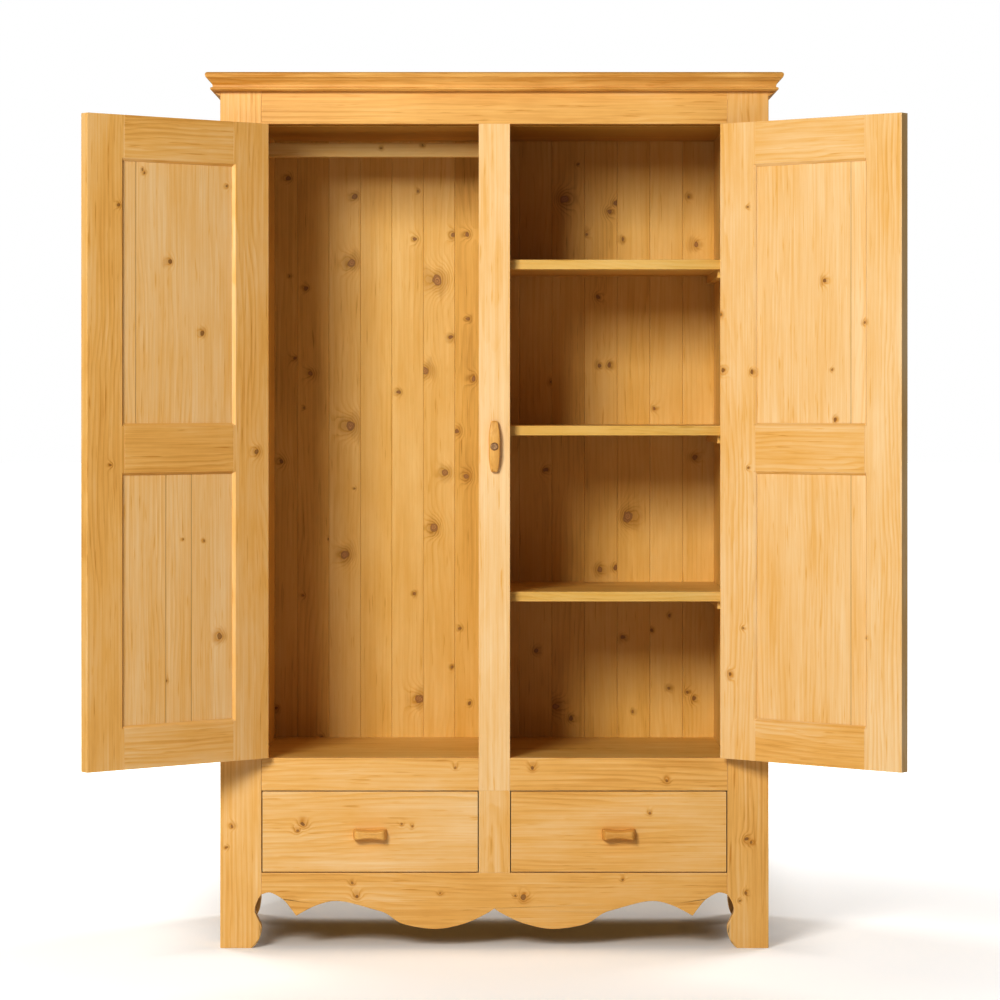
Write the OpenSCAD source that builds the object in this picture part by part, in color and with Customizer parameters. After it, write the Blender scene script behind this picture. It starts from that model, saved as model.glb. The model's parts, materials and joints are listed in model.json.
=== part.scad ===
// Two-door country wardrobe in waxed pine: hanging space on the left, three shelves on
// the right, two drawers below, a scalloped apron between scrolled feet, and a wooden
// turn-button on the centre post. It stands on the floor, +Z up, and its front faces -Y.
// The doors are drawn standing open, as they are when the wardrobe is in use.

/* [Carcass] */
// Height from the floor to the top of the cornice
total_h = 1950; // [1900:10:2000]
// Width across the two front stiles
body_w = 1222; // [1180:2:1260]
// Depth from the front face to the back face
body_d = 520; // [500:5:560]
// Thickness of the front frame
frame_t = 24; // [22:1:28]
// Width of the front stiles
stile_w = 92; // [86:1:98]
// Width of the centre post
post_w = 70; // [64:2:76]

/* [Front layout] */
// Height of the apron's top edge
apron_top = 168; // [160:1:175]
// Height of the underside of the mid rails
drawer_top = 351; // [345:1:360]
// Height of the cupboard floor and the mid rails' top
floor_top = 424; // [420:1:430]
// Height of the header's underside
header_z = 1837; // [1820:1:1845]
// Height of the cornice moulding
cornice_h = 41; // [38:1:44]
// Reach of the cornice past the frame
cornice_reach = 32; // [30:1:36]

/* [Doors] */
// Thickness of the doors
door_t = 23; // [20:1:23]
// Gap round each door and drawer front
gap = 2; // [1.5:0.5:3]
// Angle that the doors stand open
rest_angle = 140; // [100:1:170]
// Width of the door stiles
door_stile = 96; // [90:1:100]
// Height of the doors' top rails
door_top_rail = 99; // [90:1:105]
// Height of the doors' bottom rails
door_bottom_rail = 94; // [90:1:100]
// Underside of the doors' middle rails
door_mid_low = 1059; // [1040:1:1080]
// Top of the doors' middle rails
door_mid_high = 1171; // [1160:1:1180]
// Length of a hinge
hinge_len = 90; // [80:2:100]

/* [Inside] */
// Thickness of shelves, floor and top
board_t = 22; // [20:1:24]
// Step from one shelf to the next
shelf_step = 372; // [360:2:380]
// Distance of the shelf fronts behind the front face
shelf_setback = 40; // [34:1:60]
// Thickness of the matchboard lining and back
lining_t = 12; // [10:1:14]
// Thickness of the partition
partition_t = 20; // [18:1:22]

/* [Turn button and pulls] */
// Length of the turn-button
button_len = 114; // [100:2:120]
// Height of the turn-button's screw
button_z = 1118; // [1100:1:1140]
// Length of a drawer pull
pull_len = 76; // [70:1:84]
// Reach of a drawer pull in front of its drawer
pull_reach = 27; // [24:1:30]

/* [Hidden] */

$fn = 64;
pine = [0.86, 0.64, 0.35];
pale_pine = [0.92, 0.73, 0.46];
deep_pine = [0.72, 0.48, 0.22];
brass = [0.55, 0.42, 0.24];

half_w = body_w / 2;
half_post = post_w / 2;
half_part = partition_t / 2;
open_x = half_w - stile_w;
frame_top = total_h - board_t;
cornice_z = total_h - cornice_h;
ceiling_z = header_z - 4;

// The origin is on the floor, midway between the back and the edges of the open doors
front_y = -93;

// Depths behind the front face
rear_t = 30;
rear_y = body_d - rear_t;
back_y = rear_y - lining_t;
side_t = 22;
side_stile_w = 80;
side_in = frame_t + side_stile_w;
side_out = rear_y - side_stile_w;
side_half = (side_out - side_in) / 2;
side_panels_z = [[250, door_mid_low], [door_mid_high, frame_top - 110]];
slop = 1;

// Joints of the frames
apron_tenon_low = 125;
lining_low = 130;
back_rail_h = 90;
post_rebate = 26;

// Doors
door_low = floor_top + gap;
door_high = header_z - gap;
door_in = half_post + gap;
door_out = open_x - gap;
door_w = door_out - door_in;
panel_t = 10;
groove = 8;
chamfer = 6;
panel_y = 6;
field = 40;
field_rise = 4;
tenon_t = 8;
tenon_len = 35;

// Hinges: the pin stands just in front of the frame, in line with the door gap
pin_x = open_x - gap / 2;
pin_y = -4.4;
knuckle_r = 4;
pin_r = 2;
pin_slack = 0.05;
knuckles = 5;
knuckle_gap = 0.4;
leaf_t = 2;
leaf_depth = 21;
hinge_inset = 160;
hinge_zs = [floor_top + hinge_inset, header_z - hinge_inset];
screw_r = 1.8;
screw_head_r = 3.6;
screw_len = 18;

// Drawers
drawer_front_t = 22;
drawer_side_t = 12;
drawer_side_gap = 3;
drawer_lift = 0.4;
drawer_low = apron_top + gap;
drawer_high = drawer_top - gap;
drawer_back_y = back_y - gap;
drawer_base_t = 6;
drawer_base_lift = 12;
drawer_box_out = open_x - drawer_side_gap;
drawer_box_in = half_post + drawer_side_gap;
drawer_side_top = drawer_high - gap;
glue = 0.1;
runner_w = 30;
runner_h = 26;
middle_runner = 60;
guide_h = 30;

// Pulls
pull_x = (open_x + half_post) / 2;
pull_z = 254;
pull_end_h = 28;
pull_face_h = 20;
pull_slope = 9;
pull_waist = 20.5;
pull_waist_r = 200;
pull_waist_tilt = 5.7;

// Turn-button
button_w = 25;
button_end_w = 14;
button_t = 20;
button_end_t = 11;
button_flat = 34;
button_stand = 1.5;
button_screw_r = 2.5;
washer_r = 9;
washer_t = 2.4;

// Shelves and rail
shelf_tops = [floor_top - 4 + shelf_step, floor_top - 4 + 2 * shelf_step, floor_top - 4 + 3 * shelf_step];
cleat = 18;
rail_z = 1795.5;
rail_h = 31;
rail_d = 26;
rail_y = 250;
housing = 5;

// Matchboards: those behind the shelves are a little wider than those behind the clothes
left_pitch = 74.4;
right_pitch = 77.4;
board_seam = -19.2;
v_cut = 0.7;
tongue = 5;

// Half of the apron's lower edge, from the middle cusp to the stile, for a half width of 519
apron_half = 519;
apron_lobe = [[0, 88], [19, 76], [65, 55], [129, 42.5], [202, 53], [240, 76], [265, 85],
    [343, 104.5], [393, 96.5], [442, 72]];
apron_arch = [[442, 72], [453, 87], [471, 108], [499, 123.5], [apron_half, 119.5]];

// Inner edge of a foot: width left at each height, from the stile down to the floor
foot_curve = [[stile_w, 119.5], [83, 105], [77, 84], [86, 62], [92, 48], [90, 30], [82, 11], [70, 0]];

// The same for a rear foot, which is narrower
rear_foot_curve = [[stile_w, 125], [80, 112], [64, 92], [57, 68], [58, 48], [57, 30], [53, 11], [47, 0]];

// Half of the side aprons' lower edge, from the middle of the side to the stile
side_arch = [[0, 117], [60, 108], [side_half - 48, 86]];
side_scroll = [[side_half - 48, 86], [side_half - 35, 108], [side_half - 15, 123.5], [side_half, 119.5]];

// Point between p1 and p2 on a smooth curve through four points
function blend(p0, p1, p2, p3, t) =
    0.5 * (2 * p1 + (p2 - p0) * t + (2 * p0 - 5 * p1 + 4 * p2 - p3) * t * t
    + (3 * p1 - p0 - 3 * p2 + p3) * t * t * t);

// Smooth curve through a list of points
function smooth(pts, n = 6) = concat(
    [for (i = [0 : len(pts) - 2]) for (k = [0 : n - 1])
        blend(pts[max(i - 1, 0)], pts[i], pts[i + 1], pts[min(i + 2, len(pts) - 1)], k / n)],
    [pts[len(pts) - 1]]);

function turned(pts) = [for (i = [len(pts) - 1 : -1 : 0]) pts[i]];
function flipped(pts) = [for (p = pts) [-p[0], p[1]]];

// Round stretch of an outline from angle a0 to angle a1
function arc(cx, cy, r, a0, a1, n = 12) =
    [for (i = [0 : n]) [cx + r * cos(a0 + (a1 - a0) * i / n), cy + r * sin(a0 + (a1 - a0) * i / n)]];

// Puts what is measured from the front face into the wardrobe's own frame
module at_front() {
    translate([0, front_y, 0]) children();
}

// Draws the right-hand part as it is, or mirrored to the left
module on_left(left) {
    if (left) mirror([1, 0, 0]) children();
    else children();
}

// A rectangular piece between two corners
module slab(x0, x1, y0, y1, z0, z1) {
    translate([x0, y0, z0]) cube([x1 - x0, y1 - y0, z1 - z0]);
}

// An outline in width and height, given thickness from y0 to y1
module upright(y0, y1) {
    translate([0, y1, 0]) rotate([90, 0, 0]) linear_extrude(y1 - y0) children();
}

// Lays a side of the wardrobe out as if it were a front: width runs back from the front
// face and thickness runs in from the outer face
module on_side() {
    translate([half_w, front_y, 0]) rotate([0, 0, 90]) children();
}

// Hollow with sloping sides that chamfers the edges round a panel, from the face at y = 0
module panel_bevel(x0, x1, z0, z1) {
    out = chamfer + slop;
    intersection() {
        translate([0, 0, z0 - out]) linear_extrude(z1 - z0 + 2 * out)
            polygon([[x0 - out, -slop], [x1 + out, -slop], [x1, chamfer], [x0, chamfer]]);
        translate([x0 - out, 0, 0]) rotate([90, 0, 90]) linear_extrude(x1 - x0 + 2 * out)
            polygon([[-slop, z0 - out], [-slop, z1 + out], [chamfer, z1], [chamfer, z0]]);
    }
}

// Everything that a frame t thick loses round one panel: chamfers on both faces and groove
module panel_seat(x0, x1, z0, z1, t) {
    panel_bevel(x0, x1, z0, z1);
    translate([0, t, 0]) mirror([0, 1, 0]) panel_bevel(x0, x1, z0, z1);
    slab(x0 - groove, x1 + groove, panel_y, panel_y + panel_t, z0 - groove, z1 + groove);
}

// A panel with a raised field on its outer side
module fielded_panel(x0, x1, z0, z1) {
    slab(x0 - groove, x1 + groove, panel_y, panel_y + panel_t, z0 - groove, z1 + groove);
    low = panel_y - field_rise;
    wide = field - 3 * field_rise;
    intersection() {
        translate([0, 0, z0 + wide]) linear_extrude(z1 - z0 - 2 * wide)
            polygon([[x0 + wide, panel_y + slop], [x0 + wide, panel_y], [x0 + field, low],
                [x1 - field, low], [x1 - wide, panel_y], [x1 - wide, panel_y + slop]]);
        translate([x0 + wide, 0, 0]) rotate([90, 0, 90]) linear_extrude(x1 - x0 - 2 * wide)
            polygon([[panel_y + slop, z0 + wide], [panel_y, z0 + wide], [low, z0 + field],
                [low, z1 - field], [panel_y, z1 - wide], [panel_y + slop, z1 - wide]]);
    }
}

// Outline of a matchboard seen from above, faced at y = 0, with eased edges and a tongue
module matchboard_outline(w) {
    mid = lining_t / 2;
    polygon([[v_cut, 0], [w - v_cut, 0], [w, v_cut], [w, mid - 2], [w + tongue, mid - 2],
        [w + tongue, mid + 2], [w, mid + 2], [w, lining_t], [0, lining_t], [0, mid + 2],
        [tongue, mid + 2], [tongue, mid - 2], [0, mid - 2], [0, v_cut]]);
}

// A row of matchboards from x0 to x1, the first one narrower where the pitch runs out
module matchboards(x0, x1, pitch, z0, z1) {
    count = floor((x1 - x0) / pitch + 0.5);
    for (i = [0 : count - 1]) {
        left = x0 + i * pitch;
        w = i == count - 1 ? x1 - left : pitch;
        intersection() {
            translate([left, 0, z0]) linear_extrude(z1 - z0) matchboard_outline(w);
            slab(x0, x1, 0, lining_t, z0, z1);
        }
    }
}

// ---- Front frame ----

// Outline of a stile with its scrolled foot
module stile_outline(foot) {
    polygon(concat([[half_w, 0], [half_w, frame_top], [open_x, frame_top]],
        [for (p = smooth(foot)) [half_w - p[0], p[1]]]));
}

// Mortises that the rails' tenons fill, seen from the right-hand stile
module frame_tenon(z0, z1) {
    mid = frame_t / 2;
    slab(open_x, open_x + tenon_len, mid - tenon_t / 2, mid + tenon_t / 2, z0 + 8, z1 - 8);
}

module rail_tenons() {
    frame_tenon(header_z, frame_top);
    frame_tenon(drawer_top, floor_top);
    frame_tenon(apron_tenon_low, apron_top);
}

module front_stile(left) {
    color(pine) on_left(left) at_front() difference() {
        upright(0, frame_t) stile_outline(foot_curve);
        rail_tenons();
        for (z = hinge_zs) frame_leaf_seat(z);
    }
}

module left_front_stile() { front_stile(true); }
module right_front_stile() { front_stile(false); }

module header_rail() {
    color(pale_pine) at_front() {
        slab(-open_x, open_x, 0, frame_t, header_z, frame_top);
        for (left = [false, true]) on_left(left) frame_tenon(header_z, frame_top);
    }
}

module mid_rails() {
    color(pale_pine) at_front() for (left = [false, true]) on_left(left) {
        slab(half_post, open_x, 0, frame_t, drawer_top, floor_top);
        frame_tenon(drawer_top, floor_top);
    }
}

module centre_post() {
    color(pine) at_front() difference() {
        slab(-half_post, half_post, 0, frame_t, drawer_top, header_z);
        translate([0, -slop, button_z]) rotate([-90, 0, 0]) cylinder(h = frame_t, r = button_screw_r);
    }
}

module drawer_muntin() {
    color(pine) at_front() slab(-half_post, half_post, 0, frame_t, apron_top, drawer_top);
}

module apron() {
    half = [for (p = concat(smooth(apron_lobe), smooth(apron_arch))) [p[0] * open_x / apron_half, p[1]]];
    color(pale_pine) at_front() {
        upright(0, frame_t) polygon(concat(turned(flipped(half)), half,
            [[open_x, apron_top], [-open_x, apron_top]]));
        for (left = [false, true]) on_left(left) frame_tenon(apron_tenon_low, apron_top);
    }
}

// ---- Rear frame and sides ----

module rear_post(left) {
    color(deep_pine) on_left(left) at_front() upright(rear_y, body_d) stile_outline(rear_foot_curve);
}

module left_rear_post() { rear_post(true); }
module right_rear_post() { rear_post(false); }

module back_rails() {
    color(deep_pine) at_front() for (z = [lining_low, 1050, frame_top - back_rail_h])
        slab(-open_x, open_x, rear_y, body_d, z, z + back_rail_h);
}

module back_boards() {
    edge = open_x + post_rebate;
    color(pine) at_front() translate([0, back_y, 0]) {
        matchboards(board_seam, edge, right_pitch, lining_low, frame_top);
        mirror([1, 0, 0]) matchboards(-board_seam, edge, left_pitch, lining_low, frame_top);
    }
}

module side_seats() {
    for (p = side_panels_z) panel_seat(side_in, side_out, p[0], p[1], side_t);
}

// Outline of a side stile whose outer edge is at x = 0
module side_stile_outline() {
    polygon(concat([[0, 0], [0, frame_top], [side_stile_w, frame_top]],
        [for (p = smooth(foot_curve)) [p[0] - stile_w + side_stile_w, p[1]]]));
}

module side_stiles(left) {
    color(pine) on_left(left) on_side() difference() {
        union() {
            translate([frame_t, 0, 0]) upright(0, side_t) side_stile_outline();
            translate([rear_y, 0, 0]) mirror([1, 0, 0]) upright(0, side_t) side_stile_outline();
        }
        side_seats();
    }
}

module left_side_stiles() { side_stiles(true); }
module right_side_stiles() { side_stiles(false); }

module side_rails(left) {
    half = concat(smooth(side_arch), smooth(side_scroll));
    color(pale_pine) on_left(left) on_side() difference() {
        union() {
            slab(side_in, side_out, 0, side_t, side_panels_z[1][1], frame_top);
            slab(side_in, side_out, 0, side_t, side_panels_z[0][1], side_panels_z[1][0]);
            translate([(side_in + side_out) / 2, 0, 0]) upright(0, side_t)
                polygon(concat(turned(flipped(half)), half,
                    [[side_half, side_panels_z[0][0]], [-side_half, side_panels_z[0][0]]]));
        }
        side_seats();
    }
}

module left_side_rails() { side_rails(true); }
module right_side_rails() { side_rails(false); }

module side_panels(left) {
    color(pine) on_left(left) on_side()
        for (p = side_panels_z) fielded_panel(side_in, side_out, p[0], p[1]);
}

module left_side_panels() { side_panels(true); }
module right_side_panels() { side_panels(false); }

// Vertical boards that line the sides, in line with the stiles' inner edges
module side_linings() {
    deep = back_y - frame_t;
    color(pine) at_front() difference() {
        for (left = [false, true]) on_left(left)
            translate([open_x, back_y, 0]) rotate([0, 0, -90]) mirror([1, 0, 0])
                translate([-deep, 0, 0]) matchboards(0, deep, deep / 6, lining_low, frame_top);
        hanging_rail_bar();
    }
}

// ---- Inside ----

module partition() {
    color(pine) at_front() difference() {
        slab(-half_part, half_part, frame_t, back_y, floor_top, ceiling_z);
        hanging_rail_bar();
    }
}

module cabinet_floor() {
    color(pine) at_front() slab(-open_x, open_x, frame_t, back_y, floor_top - board_t, floor_top);
}

module top_board() {
    color(deep_pine) at_front() slab(-half_w, half_w, 0, body_d, frame_top, total_h);
}

module shelf(i) {
    color(pine) at_front()
        slab(half_part, open_x, shelf_setback, back_y, shelf_tops[i] - board_t, shelf_tops[i]);
}

module lower_shelf() { shelf(0); }
module middle_shelf() { shelf(1); }
module upper_shelf() { shelf(2); }

module shelf_cleats() {
    color(deep_pine) at_front() for (top = shelf_tops) {
        z = top - board_t;
        slab(half_part, half_part + cleat, shelf_setback + 20, back_y - 10, z - cleat, z);
        slab(open_x - cleat, open_x, shelf_setback + 20, back_y - 10, z - cleat, z);
    }
}

module hanging_rail_bar() {
    slab(-open_x - housing, -half_part + housing, rail_y - rail_d / 2, rail_y + rail_d / 2,
        rail_z - rail_h / 2, rail_z + rail_h / 2);
}

module hanging_rail() {
    color(pale_pine) at_front() hanging_rail_bar();
}

// The board over both spaces; its front edge is a little lower than the header, and the
// tops of the closed doors meet it
module ceiling() {
    color(deep_pine) at_front() slab(-open_x, open_x, frame_t, back_y, ceiling_z, ceiling_z + board_t);
}

module drawer_runners() {
    color(deep_pine) at_front() {
        for (left = [false, true]) on_left(left)
            slab(open_x - runner_w, open_x, frame_t, back_y, apron_top - runner_h, apron_top);
        slab(-middle_runner, middle_runner, frame_t, back_y, apron_top - runner_h, apron_top);
        slab(-half_post, half_post, frame_t, back_y, apron_top + glue, apron_top + guide_h);
    }
}

module floor_bearers() {
    z1 = floor_top - board_t;
    color(deep_pine) at_front() {
        for (left = [false, true]) on_left(left)
            slab(open_x - runner_w, open_x, frame_t, back_y, drawer_top, z1);
        slab(-middle_runner, middle_runner, frame_t, back_y, drawer_top, z1);
    }
}

// ---- Cornice ----

// Section of the moulding, reach in x and height in y: soffit, bead, quirk, crown and nose
module cornice_outline() {
    bead = 3.1;
    bead_x = 18;
    bead_top = 8.1;
    quirk = bead_x - 2;
    nose = 6;
    polygon(concat([[0, 0], [quirk, 0]], arc(bead_x, bead_top - bead, bead, -90, 90, 10),
        [[quirk, bead_top]], smooth([[quirk, 13], [20, 19.5], [25.5, 25.5], [30.5, 30]], 5),
        arc(cornice_reach - nose, cornice_h - nose, nose, 0, 90, 8), [[0, cornice_h]]));
}

// Section of the bed moulding under the returns, down the side of the frame
module bed_outline() {
    polygon(concat(smooth([[0, -10], [9, -5], [15, 0], [18, 3.5]], 4), [[0, 3.5]]));
}

module cornice_front() {
    long = half_w + cornice_reach;
    color(pale_pine) translate([0, front_y, cornice_z]) intersection() {
        rotate([90, 0, -90]) translate([0, 0, -long]) linear_extrude(2 * long) cornice_outline();
        linear_extrude(cornice_h) polygon([[-half_w, 0], [half_w, 0],
            [long, -cornice_reach], [-long, -cornice_reach]]);
    }
}

module cornice_return(left) {
    color(pale_pine) on_left(left) translate([0, front_y, cornice_z]) {
        intersection() {
            translate([half_w, body_d, 0]) rotate([90, 0, 0])
                linear_extrude(body_d + cornice_reach) cornice_outline();
            linear_extrude(cornice_h) polygon([[half_w, 0], [half_w + cornice_reach, -cornice_reach],
                [half_w + cornice_reach, body_d], [half_w, body_d]]);
        }
        translate([half_w, body_d, 0]) rotate([90, 0, 0]) linear_extrude(body_d) bed_outline();
    }
}

module left_cornice() { cornice_return(true); }
module right_cornice() { cornice_return(false); }

// ---- Hinges ----

// Screw positions on a leaf: two rows, staggered
screw_spots = [for (i = [0 : 3]) [i % 2 == 0 ? 8 : 15, (i - 1.5) * 22]];

// The plate of a leaf, lying against x = 0 towards +x, its far edge leaf_depth back
module leaf_plate() {
    difference() {
        slab(0, leaf_t, 0, leaf_depth, -hinge_len / 2, hinge_len / 2);
        for (s = screw_spots) translate([0, s[0], s[1]]) leaf_countersink();
    }
}

module leaf_countersink() {
    rotate([0, 90, 0]) cylinder(h = leaf_t, r1 = screw_head_r, r2 = screw_r);
}

// A wood screw whose head is flush with x = 0 and whose shank runs to +x
module hinge_screw() {
    rotate([0, 90, 0]) {
        cylinder(h = leaf_t, r1 = screw_head_r, r2 = screw_r);
        translate([0, 0, leaf_t]) cylinder(h = screw_len - leaf_t, r = screw_r);
    }
}

// Barrel knuckles first, first + 2 and so on round the pin, with webs to the plate
module hinge_knuckles(first, side, bore) {
    step = hinge_len / knuckles;
    for (i = [first : 2 : knuckles - 1]) {
        z0 = -hinge_len / 2 + i * step + (i > 0 ? knuckle_gap / 2 : 0);
        z1 = -hinge_len / 2 + (i + 1) * step - (i < knuckles - 1 ? knuckle_gap / 2 : 0);
        difference() {
            union() {
                translate([0, 0, z0]) cylinder(h = z1 - z0, r = knuckle_r);
                x0 = side > 0 ? gap / 2 : -gap / 2 - leaf_t;
                slab(x0, x0 + leaf_t, 0, -pin_y, z0, z1);
            }
            translate([0, 0, z0 - slop]) cylinder(h = z1 - z0 + 2 * slop, r = bore);
        }
    }
}

// Pocket in the stile, and pilot holes, for the frame's leaf at height z
module frame_leaf_seat(z) {
    slab(open_x - slop, open_x + leaf_t, -slop, leaf_depth, z - hinge_len / 2, z + hinge_len / 2);
    for (s = screw_spots) translate([open_x, s[0], z + s[1]]) hinge_screw();
}

// The same for the door's leaf, in the shut door
module door_leaf_seat(z) {
    slab(door_out - leaf_t, door_out + slop, -slop, leaf_depth, z - hinge_len / 2, z + hinge_len / 2);
    for (s = screw_spots) translate([door_out, s[0], z + s[1]]) mirror([1, 0, 0]) hinge_screw();
}

module frame_hinge_leaves() {
    color(brass) for (left = [false, true]) on_left(left) at_front() for (z = hinge_zs) {
        translate([open_x, 0, z]) leaf_plate();
        translate([pin_x, pin_y, z]) hinge_knuckles(0, 1, pin_r);
    }
}

module door_leaves(left) {
    color(brass) on_left(left) door_pose() for (z = hinge_zs) {
        translate([door_out, 0, z]) mirror([1, 0, 0]) leaf_plate();
        translate([pin_x, pin_y, z]) hinge_knuckles(1, -1, pin_r + pin_slack);
    }
}

module left_door_leaves() { door_leaves(true); }
module right_door_leaves() { door_leaves(false); }

module hinge_pins() {
    cap = 1.5;
    color(brass) for (left = [false, true]) on_left(left) at_front() for (z = hinge_zs)
        translate([pin_x, pin_y, z]) {
            translate([0, 0, -hinge_len / 2]) cylinder(h = hinge_len, r = pin_r);
            for (s = [-1, 1]) translate([0, 0, s * (hinge_len + cap) / 2])
                cylinder(h = cap, r = knuckle_r - 0.8, center = true);
        }
}

module frame_hinge_screws() {
    color(brass) for (left = [false, true]) on_left(left) at_front()
        for (z = hinge_zs) for (s = screw_spots) translate([open_x, s[0], z + s[1]]) hinge_screw();
}

module door_screws(left) {
    color(brass) on_left(left) door_pose() for (z = hinge_zs) for (s = screw_spots)
        translate([door_out, s[0], z + s[1]]) mirror([1, 0, 0]) hinge_screw();
}

module left_door_screws() { door_screws(true); }
module right_door_screws() { door_screws(false); }

// ---- Doors ----

// Turns the shut right-hand door about its hinge pins to where it stands open
module door_pose() {
    translate([pin_x, pin_y + front_y, 0]) rotate([0, 0, rest_angle])
        translate([-pin_x, -pin_y, 0]) children();
}

door_panels_z = [[door_low + door_bottom_rail, door_mid_low], [door_mid_high, door_high - door_top_rail]];
door_rails_z = [[door_low, door_panels_z[0][0]], [door_mid_low, door_mid_high],
    [door_panels_z[1][1], door_high]];
panel_in = door_in + door_stile;
panel_out = door_out - door_stile;

module door_seats() {
    for (p = door_panels_z) panel_seat(panel_in, panel_out, p[0], p[1], door_t);
}

// Tenons of the door rails, from the panel opening into the stiles
module door_tenons() {
    for (r = door_rails_z) {
        slab(panel_in - tenon_len, panel_in, panel_y, panel_y + tenon_t, r[0] + 20, r[1] - 20);
        slab(panel_out, panel_out + tenon_len, panel_y, panel_y + tenon_t, r[0] + 20, r[1] - 20);
    }
}

module hinge_stile(left) {
    color(pale_pine) on_left(left) door_pose() difference() {
        slab(panel_out, door_out, 0, door_t, door_low, door_high);
        door_seats();
        door_tenons();
        for (z = hinge_zs) door_leaf_seat(z);
    }
}

module closing_stile(left) {
    color(pale_pine) on_left(left) door_pose() difference() {
        slab(door_in, panel_in, 0, door_t, door_low, door_high);
        door_seats();
        door_tenons();
    }
}

module door_rails(left) {
    color(pine) on_left(left) door_pose() {
        difference() {
            for (r = door_rails_z) slab(panel_in, panel_out, 0, door_t, r[0], r[1]);
            door_seats();
        }
        door_tenons();
    }
}

module door_panel(left, i) {
    color(pale_pine) on_left(left) door_pose()
        fielded_panel(panel_in, panel_out, door_panels_z[i][0], door_panels_z[i][1]);
}

module left_hinge_stile() { hinge_stile(true); }
module right_hinge_stile() { hinge_stile(false); }
module left_closing_stile() { closing_stile(true); }
module right_closing_stile() { closing_stile(false); }
module left_door_rails() { door_rails(true); }
module right_door_rails() { door_rails(false); }
module left_lower_panel() { door_panel(true, 0); }
module right_lower_panel() { door_panel(false, 0); }
module left_upper_panel() { door_panel(true, 1); }
module right_upper_panel() { door_panel(false, 1); }

// ---- Drawers ----

drawer_base_z = apron_top + drawer_lift + drawer_base_lift;

// The bottom board, let into grooves in the sides and the front
module drawer_base() {
    bite = 5;
    slab(drawer_box_in + drawer_side_t - bite, drawer_box_out - drawer_side_t + bite,
        drawer_front_t - bite, drawer_back_y, drawer_base_z, drawer_base_z + drawer_base_t);
}

module drawer_front(left) {
    color(pale_pine) on_left(left) at_front() difference() {
        slab(door_in, door_out, 0, drawer_front_t, drawer_low, drawer_high);
        drawer_base();
    }
}

module drawer_box(left) {
    low = apron_top + drawer_lift;
    color(pine) on_left(left) at_front() difference() {
        union() {
            slab(drawer_box_in, drawer_box_in + drawer_side_t, drawer_front_t, drawer_back_y,
                low, drawer_side_top);
            slab(drawer_box_out - drawer_side_t, drawer_box_out, drawer_front_t, drawer_back_y,
                low, drawer_side_top);
            slab(drawer_box_in + drawer_side_t + glue, drawer_box_out - drawer_side_t - glue,
                drawer_back_y - drawer_side_t, drawer_back_y, drawer_base_z + drawer_base_t,
                drawer_side_top - 12);
        }
        drawer_base();
    }
}

module drawer_bottom(left) {
    color(pine) on_left(left) at_front() drawer_base();
}

// Wooden pull: all four sides slope in to the face, and top and bottom are waisted
module drawer_pull(left) {
    half = pull_len / 2;
    end = pull_end_h / 2;
    face = pull_face_h / 2;
    color(deep_pine) on_left(left) translate([pull_x, front_y, pull_z]) difference() {
        intersection() {
            translate([0, 0, -end]) linear_extrude(2 * end) polygon([[-half, 0], [half, 0],
                [half - pull_slope, -pull_reach], [pull_slope - half, -pull_reach]]);
            translate([-half, 0, 0]) rotate([90, 0, 90]) linear_extrude(2 * half) polygon([[0, -end],
                [0, end], [-pull_reach, face], [-pull_reach, -face]]);
        }
        for (down = [0, 1]) mirror([0, 0, down]) translate([0, 0, pull_waist / 2])
            rotate([90 + pull_waist_tilt, 0, 0]) translate([0, pull_waist_r, -2 * pull_reach])
                cylinder(h = 4 * pull_reach, r = pull_waist_r, $fn = 96);
    }
}

module left_drawer_front() { drawer_front(true); }
module right_drawer_front() { drawer_front(false); }
module left_drawer_box() { drawer_box(true); }
module right_drawer_box() { drawer_box(false); }
module left_drawer_bottom() { drawer_bottom(true); }
module right_drawer_bottom() { drawer_bottom(false); }
module left_drawer_pull() { drawer_pull(true); }
module right_drawer_pull() { drawer_pull(false); }

// ---- Turn-button ----

// Wooden bar, widest and thickest in the middle, with bevelled ends
module turn_button() {
    h = button_len / 2;
    flat = button_flat;
    base = -button_stand;
    color(deep_pine) translate([0, front_y, button_z]) difference() {
        intersection() {
            upright(base - button_t, base)
                polygon([[-button_end_w / 2, -h], [button_end_w / 2, -h], [button_w / 2, -flat],
                    [button_w / 2, flat], [button_end_w / 2, h], [-button_end_w / 2, h],
                    [-button_w / 2, flat], [-button_w / 2, -flat]]);
            translate([-button_w, 0, 0]) rotate([90, 0, 90]) linear_extrude(2 * button_w)
                polygon([[base, -h], [base, h], [base - button_end_t, h], [base - button_t, flat],
                    [base - button_t, -flat], [base - button_end_t, -h]]);
        }
        rotate([90, 0, 0]) cylinder(h = button_stand + button_t + slop, r = button_screw_r + pin_slack);
    }
}

// Screw with a collar that holds the button off the post, and a slotted head
module button_screw() {
    face = button_stand + button_t + washer_t;
    cone = 2.4;
    color(brass) translate([0, front_y, button_z]) difference() {
        rotate([90, 0, 0]) {
            translate([0, 0, slop - frame_t]) cylinder(h = frame_t - slop + face - cone, r = button_screw_r);
            cylinder(h = button_stand - 0.3, r = 6);
            translate([0, 0, face - cone]) cylinder(h = cone, r1 = button_screw_r, r2 = 4.9);
        }
        slab(-5, 5, -face - slop, -face + 1, -0.6, 0.6);
    }
}

// Cup washer under the screw's head; it turns with the button
module button_cup_washer() {
    base = button_stand + button_t;
    color(brass) translate([0, front_y, button_z]) rotate([90, 0, 0]) rotate_extrude()
        polygon([[3, base], [washer_r, base], [washer_r, base + 0.8], [7.4, base + washer_t],
            [5.5, base + washer_t]]);
}

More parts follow.
